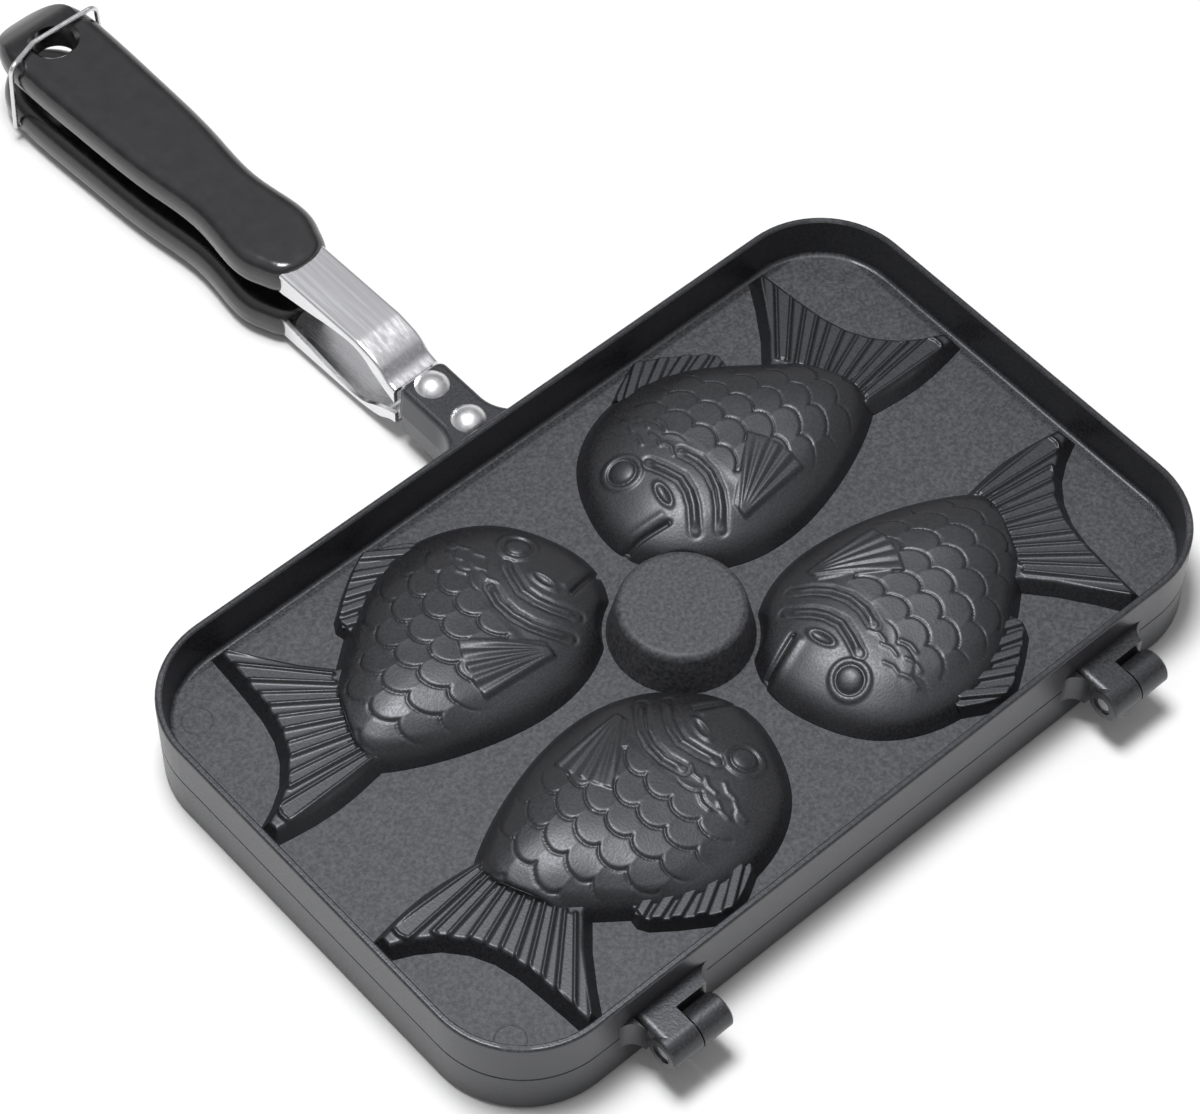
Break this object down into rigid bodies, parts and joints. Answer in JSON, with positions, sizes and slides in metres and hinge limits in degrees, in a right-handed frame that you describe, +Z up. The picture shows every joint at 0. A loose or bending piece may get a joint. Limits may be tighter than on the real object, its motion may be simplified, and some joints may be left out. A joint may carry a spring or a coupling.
{
  "type": "taiyaki maker",
  "caption": "Hinged cast pan for fish-shaped cakes: two matching halves with fish moulds, long handles with black grips and a wire latch.",
  "frame": {"origin": "centre of the pan on the plane that the lower half stands on, at the end face of the lower middle boss", "axes": "+X along the hinge line, +Y from the hinges towards the handles, +Z up through the closed pan"},
  "size_m": [0.2492, 0.3706, 0.0326],
  "materials": {
    "coated_casting": "non-stick coating, satin",
    "shank_steel": "bright",
    "black_grip": "gloss",
    "rivet_metal": "satin",
    "pin_steel": "satin",
    "wire_steel": "bright drawn wire"
  },
  "bodies": {
    "lower": {"lower_plate": "coated_casting", "lower_strip": "shank_steel", "lower_grip": "black_grip", "lower_rivet_inner": "rivet_metal", "lower_rivet_outer": "rivet_metal", "hinge_pin_left": "pin_steel", "hinge_pin_right": "pin_steel"},
    "upper": {"upper_plate": "coated_casting", "upper_strip": "shank_steel", "upper_grip": "black_grip", "upper_rivet_inner": "rivet_metal", "upper_rivet_outer": "rivet_metal"},
    "latch": {"latch_wire": "wire_steel"}
  },
  "joints": [
    {"name": "lid_hinge", "type": "hinge", "parent": "lower", "child": "upper", "pos_m": [0, -0.0874, 0.0145], "axis": [1, 0, 0], "range_deg": [0, 179.5]},
    {"name": "latch_pivot", "type": "hinge", "parent": "lower", "child": "latch", "pos_m": [-0.00425, 0.2612, 0.0052], "axis": [-1, 0, 0], "range_deg": [0, 95]}
  ]
}
